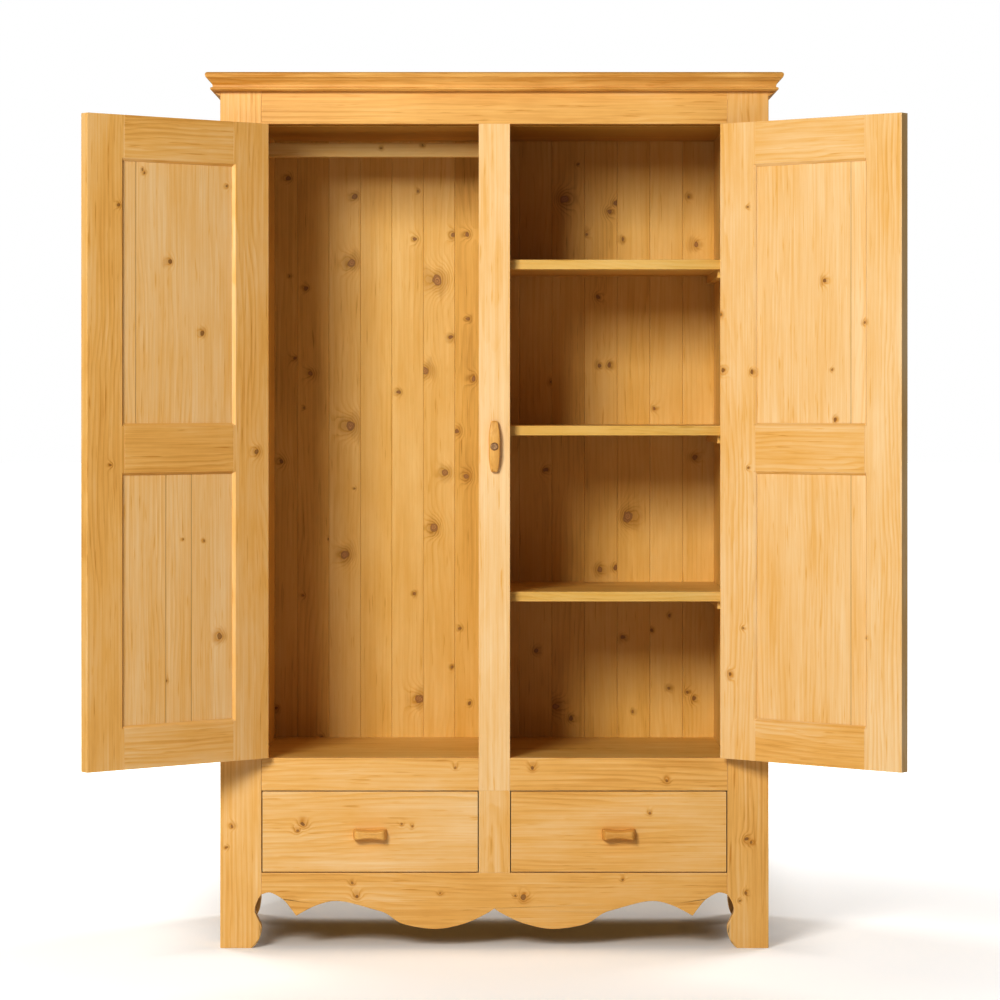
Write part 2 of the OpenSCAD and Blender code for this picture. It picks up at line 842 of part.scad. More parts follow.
left_front_stile();
right_front_stile();
header_rail();
centre_post();
drawer_muntin();
mid_rails();
apron();
left_rear_post();
right_rear_post();
back_rails();
back_boards();
left_side_stiles();
right_side_stiles();
left_side_rails();
right_side_rails();
left_side_panels();
right_side_panels();
side_linings();
partition();
cabinet_floor();
top_board();
upper_shelf();
middle_shelf();
lower_shelf();
shelf_cleats();
hanging_rail();
ceiling();
drawer_runners();
floor_bearers();
cornice_front();
left_cornice();
right_cornice();
left_hinge_stile();
left_closing_stile();
left_door_rails();
left_upper_panel();
left_lower_panel();
right_hinge_stile();
right_closing_stile();
right_door_rails();
right_upper_panel();
right_lower_panel();
frame_hinge_leaves();
hinge_pins();
frame_hinge_screws();
left_door_leaves();
right_door_leaves();
left_door_screws();
right_door_screws();
left_drawer_front();
left_drawer_box();
left_drawer_bottom();
left_drawer_pull();
right_drawer_front();
right_drawer_box();
right_drawer_bottom();
right_drawer_pull();
turn_button();
button_screw();
button_cup_washer();
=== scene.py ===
"""A two-door country wardrobe in waxed pine, dressed and lit for a plain studio view."""

import json
import logging
import math
from dataclasses import dataclass, field, replace
from enum import Enum

import bmesh
import bpy
import numpy as np
from mathutils import Matrix, Vector

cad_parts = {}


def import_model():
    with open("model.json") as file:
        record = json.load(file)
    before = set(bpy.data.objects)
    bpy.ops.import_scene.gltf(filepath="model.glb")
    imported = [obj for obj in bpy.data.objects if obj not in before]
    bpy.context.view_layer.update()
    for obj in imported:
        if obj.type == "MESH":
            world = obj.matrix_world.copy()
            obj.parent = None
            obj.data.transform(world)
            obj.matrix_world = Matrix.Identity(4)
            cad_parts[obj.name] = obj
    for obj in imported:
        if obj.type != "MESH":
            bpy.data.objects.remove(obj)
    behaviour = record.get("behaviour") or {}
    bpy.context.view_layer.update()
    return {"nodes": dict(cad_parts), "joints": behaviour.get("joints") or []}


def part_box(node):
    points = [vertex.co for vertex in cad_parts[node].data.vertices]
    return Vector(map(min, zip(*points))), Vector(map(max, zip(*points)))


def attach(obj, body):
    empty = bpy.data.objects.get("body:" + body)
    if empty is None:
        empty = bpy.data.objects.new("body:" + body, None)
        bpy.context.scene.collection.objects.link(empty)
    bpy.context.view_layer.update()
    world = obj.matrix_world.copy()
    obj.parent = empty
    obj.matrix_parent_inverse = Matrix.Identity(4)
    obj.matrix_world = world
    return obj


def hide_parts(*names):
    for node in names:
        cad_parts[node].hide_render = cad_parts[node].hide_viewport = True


LOG = logging.getLogger("wardrobe")
MM = 0.001
SEED_STEP = 7
WHITE = (1.0, 1.0, 1.0)
# The vector sums that give a number
NUMBER_SUMS = ("DISTANCE", "LENGTH", "DOT_PRODUCT")

Colour = tuple[float, float, float]
Socket = bpy.types.NodeSocket


# ---- shader building


class Graph:
    """A node tree, with one short method for each kind of node that it needs."""

    def __init__(self, owner: bpy.types.Material | bpy.types.World) -> None:
        """Starts an empty tree.

        Args:
            owner: the new material or world that it belongs to.
        """
        self.owner = owner
        owner.use_nodes = True
        self.tree = owner.node_tree
        self.tree.nodes.clear()

    def node(self, kind: str, **settings: object) -> bpy.types.Node:
        """Adds a node and sets its properties.

        Args:
            kind: the node's Blender type.
            settings: its properties by name.

        Returns:
            The node.
        """
        made = self.tree.nodes.new(kind)
        for name, value in settings.items():
            setattr(made, name, value)
        return made

    def feed(self, socket: Socket, value: object) -> None:
        """Links a socket to another, or sets it to a constant.

        Args:
            socket: the input.
            value: an output socket, or the constant.
        """
        if isinstance(value, Socket):
            self.tree.links.new(value, socket)
        elif socket.type == "RGBA":
            socket.default_value = (*value, 1.0)
        else:
            socket.default_value = value

    def wired(self, kind: str, *values: object, **settings: object) -> bpy.types.Node:
        """Adds a node and feeds its first inputs in order.

        Args:
            kind: the node's Blender type.
            values: sockets or constants.
            settings: its properties by name.

        Returns:
            The node.
        """
        made = self.node(kind, **settings)
        for socket, value in zip(made.inputs, values):
            self.feed(socket, value)
        return made

    def math(self, operation: str, a: object, b: object = 0.0, c: object = 0.0) -> Socket:
        """One sum on numbers, by the Math node's name for it."""
        return self.wired("ShaderNodeMath", a, b, c, operation=operation).outputs[0]

    def plus(self, a: object, b: object) -> Socket:
        """The sum of two numbers."""
        return self.math("ADD", a, b)

    def minus(self, a: object, b: object) -> Socket:
        """One number less another."""
        return self.math("SUBTRACT", a, b)

    def times(self, a: object, b: object) -> Socket:
        """The product of two numbers."""
        return self.math("MULTIPLY", a, b)

    def scaled(self, value: object, factor: object, base: object) -> Socket:
        """A value times a factor, on top of a base."""
        return self.math("MULTIPLY_ADD", value, factor, base)

    def sway(self, value: object, amount: object, base: object) -> Socket:
        """A base that a value from 0 to 1 lowers and raises by half of an amount."""
        return self.scaled(self.minus(value, 0.5), amount, base)

    def vector(self, operation: str, a: object, b: object = (0.0, 0.0, 0.0)) -> Socket:
        """One sum on vectors, by the Vector Math node's name for it."""
        made = self.wired("ShaderNodeVectorMath", a, b, operation=operation)
        return made.outputs["Value" if operation in NUMBER_SUMS else "Vector"]

    def joined(self, x: object, y: object, z: object) -> Socket:
        """A vector from three numbers."""
        return self.wired("ShaderNodeCombineXYZ", x, y, z).outputs[0]

    def parts(self, vector: Socket) -> tuple[Socket, ...]:
        """The three parts of a vector."""
        return tuple(self.wired("ShaderNodeSeparateXYZ", vector).outputs)

    def ramp(self, value: object, stops: list[tuple[float, Colour]]) -> Socket:
        """A colour that runs through stops.

        Args:
            value: the place along the ramp.
            stops: places and colours in order.

        Returns:
            The colour's socket.
        """
        made = self.node("ShaderNodeValToRGB")
        band = made.color_ramp
        while len(band.elements) < len(stops):
            band.elements.new(0.5)
        for element, (place, colour) in zip(band.elements, stops):
            element.position = place
            element.color = (*colour, 1.0)
        self.feed(made.inputs[0], value)
        return made.outputs[0]

    def step(
        self, value: object, low: float, high: float, start: float = 0.0, end: float = 1.0
    ) -> Socket:
        """A smooth step: the start value up to low, the end value from high on."""
        numbers = (value, low, high, start, end)
        return self.wired("ShaderNodeMapRange", *numbers, interpolation_type="SMOOTHSTEP").outputs[0]

    def mix(self, share: object, a: object, b: object) -> Socket:
        """Two colours mixed.

        Args:
            share: how much of the second.
            a: first colour.
            b: second colour.

        Returns:
            The colour's socket.
        """
        made = self.node("ShaderNodeMix", data_type="RGBA")
        for place, value in ((0, share), (6, a), (7, b)):
            self.feed(made.inputs[place], value)
        return made.outputs[2]

    def surface(
        self, colour: object, rough: object, bump: object, depth: float, **constants: object
    ) -> bpy.types.Material:
        """Ends the tree in one Principled shader.

        Args:
            colour: the base colour.
            rough: the roughness.
            bump: the height that bumps the surface.
            depth: how far a height of one stands out, in metres.
            constants: the shader's other inputs by name.

        Returns:
            The material.
        """
        shader = self.node("ShaderNodeBsdfPrincipled")
        self.feed(shader.inputs["Base Color"], colour)
        self.feed(shader.inputs["Roughness"], rough)
        for name, value in constants.items():
            self.feed(shader.inputs[name], value)
        relief = self.node("ShaderNodeBump")
        for name, value in (("Strength", 1.0), ("Distance", depth), ("Height", bump)):
            self.feed(relief.inputs[name], value)
        self.feed(shader.inputs["Normal"], relief.outputs[0])
        self.wired("ShaderNodeOutputMaterial", shader.outputs[0])
        return self.owner

    def shown(self, lit: object, seen: object, output: str) -> None:
        """Ends a tree of the studio: one shader lights the wardrobe, the other one is looked at.

        Args:
            lit: the shader that the wardrobe gets its light from.
            seen: the shader that the picture shows.
            output: the output node's Blender type.
        """
        path = self.node("ShaderNodeLightPath")
        either = self.wired("ShaderNodeMixShader", path.outputs["Is Camera Ray"], lit, seen)
        self.wired(output, either.outputs[0])


@dataclass(frozen=True)
class Pattern:
    """A noise from 0 to 1: how fine it is in each direction, its layers and how it is bent."""

    stretch: tuple[float, float, float]
    detail: float = 1.0
    rough: float = 0.5
    warp: float = 0.0

    def on(self, graph: Graph, place: object) -> Socket:
        """Adds the noise at a place to a tree.

        Args:
            graph: the tree.
            place: where it is read.

        Returns:
            The value's socket.
        """
        made = graph.wired("ShaderNodeTexNoise", graph.vector("MULTIPLY", place, self.stretch))
        names = ("Scale", "Detail", "Roughness", "Distortion")
        for name, value in zip(names, (1.0, self.detail, self.rough, self.warp)):
            graph.feed(made.inputs[name], value)
        return made.outputs["Fac"]


# The growth of the tree: how its heart wanders and leans, and how its rings curl and fade
WANDER = Pattern((3.0, 3.0, 0.9))
LEAN = Pattern((0.5, 0.5, 1.1))
CURL = Pattern((13.0, 13.0, 2.6), detail=2.0, warp=0.6)
FADE = Pattern((15.0, 15.0, 1.7))
# The colour of the cut face
STREAK = Pattern((74.0, 74.0, 1.8), detail=5.0, rough=0.66, warp=0.25)
FLECK = Pattern((190.0, 190.0, 11.0), detail=2.0)
FIBRE = Pattern((300.0, 300.0, 5.0), detail=2.0, rough=0.6)
CLOUD = Pattern((11.0, 11.0, 3.6), detail=4.0, rough=0.58)
# The outline, grit and halo of a knot
KNOT_BEND = Pattern((75.0, 75.0, 40.0))
KNOT_SWELL = Pattern((48.0, 48.0, 60.0))
KNOT_GRIT = Pattern((120.0, 120.0, 60.0), detail=3.0, rough=0.6)
KNOT_SMEAR = Pattern((42.0, 42.0, 12.0), detail=2.0)
# Tarnish, specks and scratches of old metal
TARNISH = Pattern((190.0, 190.0, 190.0), detail=4.0, rough=0.6)
SPECK = Pattern((900.0, 900.0, 900.0), detail=2.0)
SCRATCH = Pattern((300.0, 300.0, 2600.0))


# ---- how boards lie


class Grain(Enum):
    """The way that a board lies: its width, thickness and grain as axes of its own frame."""

    UPRIGHT = ((1, 0, 0), (0, 1, 0), (0, 0, 1))
    ACROSS = ((0, 0, 1), (0, 1, 0), (-1, 0, 0))
    FLAT_ACROSS = ((0, 1, 0), (0, 0, 1), (1, 0, 0))
    SIDE_UPRIGHT = ((0, 1, 0), (-1, 0, 0), (0, 0, 1))
    SIDE_ALONG = ((0, 0, 1), (1, 0, 0), (0, 1, 0))
    FLAT_ALONG = ((1, 0, 0), (0, 0, -1), (0, 1, 0))


# A knot's place across has this much added for each board before its own, so that no knot
# shows on a neighbour
BOARD_SHIFT = 10.0
# Distance in radii where no knot is near, and the largest radius in metres
FAR_OFF = 30.0
LARGEST_KNOT = 0.02


@dataclass(frozen=True)
class Knot:
    """A knot: across and along are its place on the board's face, in metres."""

    across: float
    along: float
    radius: float


@dataclass(frozen=True)
class Layout:
    """Where a board's own frame lies: grain axes, the point that they start from and a turn."""

    grain: Grain
    start: tuple[float, float, float]
    turn: float = 0.0

    def rotation(self) -> Matrix:
        """The turn from object coordinates to width, thickness and grain."""
        return Matrix(self.grain.value) @ Matrix.Rotation(-self.turn, 3, "Z")

    def add_to(self, graph: Graph) -> Socket:
        """Adds the coordinates to a tree.

        Args:
            graph: the tree.

        Returns:
            The socket with width, thickness and grain in metres.
        """
        rotation = self.rotation()
        place = graph.node("ShaderNodeTexCoord")
        mapped = graph.node("ShaderNodeMapping", vector_type="POINT")
        graph.feed(mapped.inputs["Vector"], place.outputs["Object"])
        mapped.inputs["Rotation"].default_value = rotation.to_euler("XYZ")
        mapped.inputs["Location"].default_value = -(rotation @ Vector(self.start))
        return mapped.outputs[0]


@dataclass(frozen=True)
class Boards:
    """How a face is made up of boards: either seams at given widths or one pitch from a start."""

    seams: tuple[float, ...] = ()
    start: float = 0.0
    pitch: float = 0.0

    def knot(self, across: float, along: float, radius: float) -> Knot:
        """A knot in metres from millimetres, shifted across by the number of its board."""
        number = sum(seam < across * MM for seam in self.seams)
        return Knot(across * MM + BOARD_SHIFT * number, along * MM, radius * MM)


# ---- finishes

# A knot's ringed heart, a small knot's plain heart and the dark rim
KNOT_RINGS = [(0.0, (0.58, 0.34, 0.12)), (0.55, (0.47, 0.25, 0.075)), (0.95, (0.28, 0.125, 0.03))]
SMALL_KNOT = (0.25, 0.115, 0.028)
KNOT_RIM = (0.22, 0.085, 0.019)


def worn_edge(g: Graph) -> Socket:
    """How sharp the arris is at a point, from 0 on a flat face to 1 on a worn edge.

    The rounded normal is compared with the true one: they agree on a flat and part at an arris.

    Args:
        g: the material's tree.

    Returns:
        The value's socket.
    """
    soft = g.node("ShaderNodeBevel", samples=4)
    g.feed(soft.inputs["Radius"], 0.0022)
    true = g.node("ShaderNodeNewGeometry")
    likeness = g.vector("DOT_PRODUCT", soft.outputs[0], true.outputs["Normal"])
    return g.step(likeness, 0.8, 0.995, 1.0, 0.0)


@dataclass(frozen=True)
class WaxedPine:
    """Waxed pine: rings as a tree has them, knots that bend them, fibres, and boards that differ."""

    pale: Colour = (0.93, 0.70, 0.41)
    honey: Colour = (0.84, 0.505, 0.155)
    amber: Colour = (0.60, 0.275, 0.034)
    ring_step: float = 0.0115
    ring_tone: float = 0.19
    knot_tone: float = 0.55
    streak_tone: float = 0.62
    fibre_tone: float = 0.42
    cloud_tone: float = 0.72
    fleck_tone: float = 0.30
    fleck_step: tuple[float, float] = (0.62, 0.76)
    board_tone: float = 0.14
    seam_tone: float = 0.55
    seam_dark: float = 0.45
    edge_fade: float = 0.5
    # How much darker or paler the whole piece is: partly the board's own tone, partly painted light and
    # shading, set for how brightly it is lit
    tone_and_light: float = 0.0
    middle_tone: float = 0.62
    tree_size: float = 31.0
    heart_depth: float = 0.05
    heart_shift: float = 0.05
    heart_wander: float = 0.06
    taper: float = 0.24
    curl_turns: float = 3.4
    late_wood: tuple[float, float] = (0.3, 0.88)
    knot_lift: float = 5.5
    knot_reach: float = 0.11
    roughness: float = 0.44
    wax: float = 0.12
    relief: float = 0.00028

    def material(
        self,
        name: str,
        layout: Layout,
        seed: int,
        boards: Boards = Boards(),
        knots: tuple[Knot, ...] = (),
    ) -> bpy.types.Material:
        """Makes the wood of one piece.

        The face is split into boards, each with its own part of the tree. Rings are circles
        round a wandering heart line, so a flat face shows arches. A knot lifts the rings into
        closed eyes. Tone is the sum of rings, streaks, fibres and the board's own tone.

        Args:
            name: the material's name.
            layout: where the board's frame lies.
            seed: a number that picks the piece of wood.
            boards: how the face is split.
            knots: the knots on it.

        Returns:
            The material.
        """
        g = Graph(bpy.data.materials.new(name))
        across, deep, along = g.parts(layout.add_to(g))
        index, local, joint = self.split(g, across, boards)
        pick = g.node("ShaderNodeTexWhiteNoise", noise_dimensions="1D")
        g.feed(pick.inputs["W"], g.plus(index, float(seed)))
        first, second, third = g.parts(pick.outputs["Color"])
        shift = g.times(first, self.tree_size)
        place = g.joined(g.plus(across, shift), deep, g.plus(along, shift))

        radius = self.from_heart(g, place, local, deep, (second, third))
        near, size = self.knot_field(g, self.bent_place(g, index, across, along, place), knots)
        lift, strength = 0.0, self.ring_tone
        if knots:
            lift = g.math("EXPONENT", g.times(g.times(near, near), -self.knot_reach))
            radius = g.plus(radius, g.times(g.times(lift, size), self.knot_lift))
            strength = g.scaled(lift, self.knot_tone, self.ring_tone)
        late = self.late_rings(g, place, radius, lift)

        fibre, cloud = FIBRE.on(g, place), CLOUD.on(g, place)
        # The middle tone less tone_and_light, which holds painted light and shading as well as the
        # board's own tone
        tone = g.minus(self.middle_tone - self.tone_and_light, g.times(late, strength))
        tone = g.sway(STREAK.on(g, place), self.streak_tone, tone)
        tone = g.sway(fibre, self.fibre_tone, tone)
        tone = g.sway(cloud, self.cloud_tone, tone)
        fleck = g.step(FLECK.on(g, place), *self.fleck_step)
        tone = g.scaled(fleck, -self.fleck_tone, tone)
        tone = g.sway(third, self.board_tone, tone)
        colour = g.ramp(tone, [(0.0, self.amber), (0.5, self.honey), (1.0, self.pale)])
        if knots:
            colour = self.knot_colour(g, colour, near, size, place)
        gap_colour = tuple(self.seam_dark * part for part in self.amber)
        colour = g.mix(g.times(joint, self.seam_tone), colour, gap_colour)

        edge = worn_edge(g)
        colour = g.mix(g.times(edge, self.edge_fade), colour, self.pale)
        rough = g.scaled(fibre, 0.16, self.roughness - 0.08)
        rough = g.scaled(cloud, 0.12, g.scaled(edge, -0.08, rough))
        height = g.scaled(late, 0.45, g.times(fibre, 0.55))
        height = g.minus(height, g.times(joint, 1.5))
        constants = {"IOR": 1.45, "Coat Weight": self.wax, "Coat Roughness": 0.32}
        return g.surface(colour, rough, height, self.relief, **constants)

    def from_heart(
        self, g: Graph, place: object, local: object, deep: object, picks: tuple[object, object]
    ) -> Socket:
        """The distance from the heart line of the tree, which wanders and leans.

        Args:
            g: the material's tree.
            place: where the noise is read.
            local: the place across the board.
            deep: the place through the board.
            picks: two numbers from 0 to 1 that shift the heart across and set how deep it lies.

        Returns:
            The distance in metres: the root of the squares of the ways across and through.
        """
        slow, lean = WANDER.on(g, place), LEAN.on(g, place)
        wander = g.times(g.minus(slow, 0.5), self.heart_wander)
        heart = g.times(g.minus(picks[0], 0.5), self.heart_shift)
        side = g.plus(g.plus(local, heart), wander)
        depth = g.sway(lean, self.taper, g.scaled(picks[1], self.heart_depth, self.heart_depth))
        back = g.plus(deep, depth)
        return g.math("SQRT", g.plus(g.times(side, side), g.times(back, back)))

    def late_rings(self, g: Graph, place: object, radius: object, lift: object) -> Socket:
        """The late wood: a line that darkens slowly towards each ring's end and fades in patches.

        Args:
            g: the material's tree.
            place: where the noise is read.
            radius: the distance from the heart.
            lift: how near a knot is, from 0 to 1; rings do not fade there.

        Returns:
            How much late wood there is, from 0 to 1.
        """
        start, end = self.late_wood
        curl = CURL.on(g, place)
        turns = g.scaled(curl, self.curl_turns, g.math("DIVIDE", radius, self.ring_step))
        ring = g.math("FRACT", turns)
        late = g.times(g.step(ring, start, end), g.step(ring, end, 1.0, 1.0, 0.0))
        share = g.step(FADE.on(g, place), 0.35, 0.7, 0.1, 1.0)
        return g.times(late, g.math("MAXIMUM", share, lift))

    @staticmethod
    def split(g: Graph, across: object, boards: Boards) -> tuple[object, object, object]:
        """Splits a face into boards.

        Args:
            g: the material's tree.
            across: the place across the face.
            boards: how it is split.

        Returns:
            The board's number, the place across that board and a line along each seam.
        """
        if boards.pitch:
            scaled = g.math("DIVIDE", g.minus(across, boards.start), boards.pitch)
            index = g.math("FLOOR", scaled)
            share = g.minus(scaled, index)
            local = g.times(g.minus(share, 0.5), boards.pitch)
            from_seam = g.minus(0.5, g.math("ABSOLUTE", g.minus(share, 0.5)))
            gap = g.times(from_seam, boards.pitch)
            return index, local, g.step(gap, 0.0004, 0.0014, 1.0, 0.0)
        index, joint = 0.0, 0.0
        for seam in boards.seams:
            index = g.plus(index, g.math("GREATER_THAN", across, seam))
            gap = g.math("ABSOLUTE", g.minus(across, seam))
            joint = g.math("MAXIMUM", joint, g.step(gap, 0.0003, 0.0012, 1.0, 0.0))
        return index, across, joint

    @staticmethod
    def bent_place(g: Graph, index: object, across: object, along: object, place: object) -> object:
        """The place that knots are read at: noise bends it, so that no knot is a true circle.

        Args:
            g: the material's tree.
            index: the board's number.
            across: the place across the face.
            along: the place along the grain.
            place: where the noise is read.

        Returns:
            The place across with the shift for its board's number, nothing, and the place along.
        """
        wide = g.sway(KNOT_BEND.on(g, place), 9 * MM, across)
        tall = g.sway(KNOT_SWELL.on(g, place), 11 * MM, along)
        return g.joined(g.scaled(index, BOARD_SHIFT, wide), 0.0, tall)

    @staticmethod
    def knot_field(g: Graph, place: object, knots: tuple[Knot, ...]) -> tuple[object, object]:
        """How near a point is to a knot.

        The distance to each knot is divided by that knot's radius, and the least is kept. The
        least plain distance over it gives that knot's radius.

        Args:
            g: the material's tree.
            place: the bent place.
            knots: the knots, whose across already holds the shift for their board's number.

        Returns:
            The nearest distance in radii, and the radius of that knot.
        """
        near, plain = FAR_OFF, 1.0
        for knot in knots:
            gap = g.vector("DISTANCE", place, (knot.across, 0.0, knot.along))
            near = g.math("MINIMUM", near, g.math("DIVIDE", gap, knot.radius))
            plain = g.math("MINIMUM", plain, gap)
        if not knots:
            return near, plain
        size = g.math("DIVIDE", plain, g.math("MAXIMUM", near, 0.02))
        return near, g.math("MINIMUM", size, LARGEST_KNOT)

    def knot_colour(
        self, g: Graph, colour: object, near: object, size: object, place: object
    ) -> Socket:
        """Paints the knots: a dark rim, a ringed brown heart and a warm halo.

        Args:
            g: the material's tree.
            colour: the wood's colour.
            near: distance from the nearest knot in radii.
            size: that knot's radius.
            place: where the noise is read.

        Returns:
            The colour's socket.
        """
        grit = KNOT_GRIT.on(g, place)
        spread = g.times(near, g.scaled(grit, 0.9, 0.65))
        heart = g.ramp(g.math("FRACT", g.times(spread, 2.6)), KNOT_RINGS)
        small = g.step(size, 0.0035, 0.0075, 0.85, 0.1)
        heart = g.mix(small, heart, SMALL_KNOT)
        rim = g.step(g.math("ABSOLUTE", g.minus(spread, 0.95)), 0.03, 0.26, 0.55, 0.0)
        smear = KNOT_SMEAR.on(g, place)
        halo = g.step(g.times(near, g.scaled(smear, 1.7, 0.15)), 0.8, 3.6, 0.55, 0.0)
        colour = g.mix(halo, colour, self.amber)
        strength = g.step(size, 0.0022, 0.005, 0.62, 0.95)
        core = g.times(g.step(spread, 0.75, 1.25, 1.0, 0.0), strength)
        colour = g.mix(core, colour, heart)
        return g.mix(g.times(rim, strength), colour, KNOT_RIM)


@dataclass(frozen=True)
class AgedMetal:
    """Old brass or bronze: tarnish in clouds, fine scratches and bright worn arrises."""

    bright: Colour = (0.60, 0.47, 0.28)
    tarnish: Colour = (0.24, 0.17, 0.09)
    roughness: float = 0.38
    metal: float = 1.0

    def material(self, name: str) -> bpy.types.Material:
        """Makes the metal.

        Args:
            name: the material's name.

        Returns:
            The material.
        """
        g = Graph(bpy.data.materials.new(name))
        place = g.node("ShaderNodeTexCoord").outputs["Object"]
        speck, scratch = SPECK.on(g, place), SCRATCH.on(g, place)
        share = g.step(g.scaled(speck, 0.3, TARNISH.on(g, place)), 0.48, 0.86)
        edge = worn_edge(g)
        colour = g.mix(share, self.tarnish, self.bright)
        colour = g.mix(g.times(edge, 0.6), colour, self.bright)
        rough = g.scaled(share, -0.14, self.roughness + 0.1)
        rough = g.scaled(scratch, 0.12, rough)
        return g.surface(colour, rough, g.plus(scratch, speck), 0.00005, Metallic=self.metal)


# ---- surfaces


def grid_faces(rows: int, columns: int) -> tuple[np.ndarray, np.ndarray]:
    """Joins neighbouring rows of a grid of points, where each row is a closed loop.

    Args:
        rows: how many rows there are.
        columns: how many points are in a row.

    Returns:
        The points' numbers, and the four-sided faces as points' numbers.
    """
    spots = np.arange(rows * columns).reshape(rows, columns)
    spots = np.concatenate([spots, spots[:, :1]], axis=1)
    corners = [spots[:-1, :-1], spots[:-1, 1:], spots[1:, 1:], spots[1:, :-1]]
    return spots, np.stack(corners, axis=-1).reshape(-1, 4)


def mesh_piece(name: str, verts: np.ndarray, faces: list[list[int]]) -> bpy.types.Object:
    """Makes an object of points and faces and puts it in the scene.

    Args:
        name: the piece's name.
        verts: the points, in metres.
        faces: the faces as points' numbers.

    Returns:
        The object.
    """
    mesh = bpy.data.meshes.new(name)
    mesh.from_pydata(verts.tolist(), [], faces)
    piece = bpy.data.objects.new(name, mesh)
    bpy.context.scene.collection.objects.link(piece)
    return piece


def grid_piece(name: str, points: np.ndarray) -> bpy.types.Object:
    """Makes a closed object from a grid of points, where each row is a closed loop.

    The first and the last row are capped: each of their points is joined to the row's middle.

    Args:
        name: the piece's name.
        points: an array of rows, columns and three coordinates, in metres.

    Returns:
        The object, at the origin, with its place in its mesh and its faces outwards.
    """
    spots, quads = grid_faces(*points.shape[:2])
    verts = points.reshape(-1, 3)
    faces = quads.tolist()
    for row in (0, len(points) - 1):
        ring = spots[row]
        middle = np.full(len(ring) - 1, len(verts))
        verts = np.concatenate([verts, points[row].mean(axis=0, keepdims=True)])
        faces += np.stack([ring[:-1], ring[1:], middle], axis=-1).tolist()
    piece = mesh_piece(name, verts, faces)
    tidy_normals(piece.data)
    return piece


def tidy_normals(mesh: bpy.types.Mesh) -> None:
    """Merges doubled points and turns every face outwards.

    Args:
        mesh: the closed mesh.
    """
    made = bmesh.new()
    made.from_mesh(mesh)
    bmesh.ops.remove_doubles(made, verts=made.verts, dist=1e-6)
    bmesh.ops.recalc_face_normals(made, faces=made.faces)
    made.to_mesh(mesh)
    made.free()


def soft_power(value: np.ndarray, power: float) -> np.ndarray:
    """A power that keeps the sign, which squares up a circle when it is under one."""
    return np.sign(value) * np.abs(value) ** power


def smooth_shade(piece: bpy.types.Object, degrees: float) -> None:
    """Shades a piece smooth except across edges sharper than an angle."""
    piece.data.shade_smooth()
    piece.data.set_sharp_from_angle(angle=math.radians(degrees))


def ease_arrises(piece: bpy.types.Object, width: float) -> None:
    """Rounds the arrises of a CAD board with live modifiers; its own mesh stays as it is.

    Args:
        piece: the board.
        width: how much each arris loses, in metres.
    """
    weld = piece.modifiers.new("weld", "WELD")
    weld.merge_threshold = 2e-6
    bevel = piece.modifiers.new("arris", "BEVEL")
    bevel.width = width
    bevel.segments = 2
    bevel.limit_method = "ANGLE"
    bevel.angle_limit = math.radians(42.0)
    bevel.use_clamp_overlap = False
    bevel.miter_outer = "MITER_ARC"


def dress(piece: bpy.types.Object, material: bpy.types.Material) -> None:
    """Gives a piece one material."""
    piece.data.materials.clear()
    piece.data.materials.append(material)


# ---- the wardrobe's parts


@dataclass
class Workshop:
    """What every sub-assembly needs: the frame, its finishes and a count of the cuts of wood."""

    nodes: dict[str, bpy.types.Object]
    joints: dict[str, dict]
    pine: WaxedPine = WaxedPine()
    panel_pine: WaxedPine = WaxedPine(ring_tone=0.11, streak_tone=0.7, cloud_tone=0.5, heart_depth=0.07)
    # The inside's pine, darker and more amber than the front's: partly its own tone, partly painted
    # shading for the dim inside
    shaded_inner_pine: WaxedPine = WaxedPine(
        pale=(0.86, 0.63, 0.27),
        honey=(0.75, 0.475, 0.118),
        amber=(0.48, 0.25, 0.026),
        ring_tone=0.13,
        streak_tone=0.5,
        fibre_tone=0.32,
        cloud_tone=0.8,
        board_tone=0.26,
        seam_tone=0.06,
    )
    carved: WaxedPine = WaxedPine(tone_and_light=0.28, ring_step=0.006)
    brass: AgedMetal = AgedMetal()
    bronze: AgedMetal = AgedMetal((0.66, 0.44, 0.25), (0.30, 0.18, 0.09), roughness=0.5, metal=0.75)
    cuts: int = 0

    def seed(self) -> int:
        """A new number for each piece of wood."""
        self.cuts += 1
        return self.cuts * SEED_STEP

    def board(
        self,
        name: str,
        grain: Grain,
        finish: WaxedPine | None = None,
        arris: float = 0.0006,
        tone_and_light: float = 0.0,
        turn: float = 0.0,
        pin: Vector | None = None,
        boards: Boards | tuple[float, ...] = (),
        knots: tuple[Knot, ...] = (),
    ) -> None:
        """Dresses one CAD board: its own cut of wood and eased arrises.

        Args:
            name: the CAD node.
            grain: how the board lies.
            finish: its wood, or plain waxed pine.
            arris: how much its arrises are eased.
            tone_and_light: how much darker its wood is: partly its own tone, partly painted light and
                shading for how brightly the piece is lit.
            turn: how far it is turned about the vertical.
            pin: the point that it is turned about.
            boards: how its face is split, or just the seams between its boards.
            knots: its knots.
        """
        low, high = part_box(name)
        start = pin if pin is not None else Vector((0.0, (low.y + high.y) / 2, 0.0))
        layout = Layout(grain, tuple(start), turn)
        wood = replace(finish or self.pine, tone_and_light=tone_and_light)
        if not isinstance(boards, Boards):
            boards = Boards(seams=boards)
        dress(self.nodes[name], wood.material(f"pine_{name}", layout, self.seed(), boards, knots))
        if arris:
            ease_arrises(self.nodes[name], arris)

    def carved_wood(self, piece: bpy.types.Object, grain: Grain, centre: Vector) -> None:
        """Shades a carved piece smooth and dresses it in wood.

        Args:
            piece: the piece.
            grain: how its grain lies.
            centre: its middle.
        """
        smooth_shade(piece, 50.0)
        layout = Layout(grain, tuple(centre))
        dress(piece, self.carved.material(f"pine_{piece.name}", layout, self.seed()))


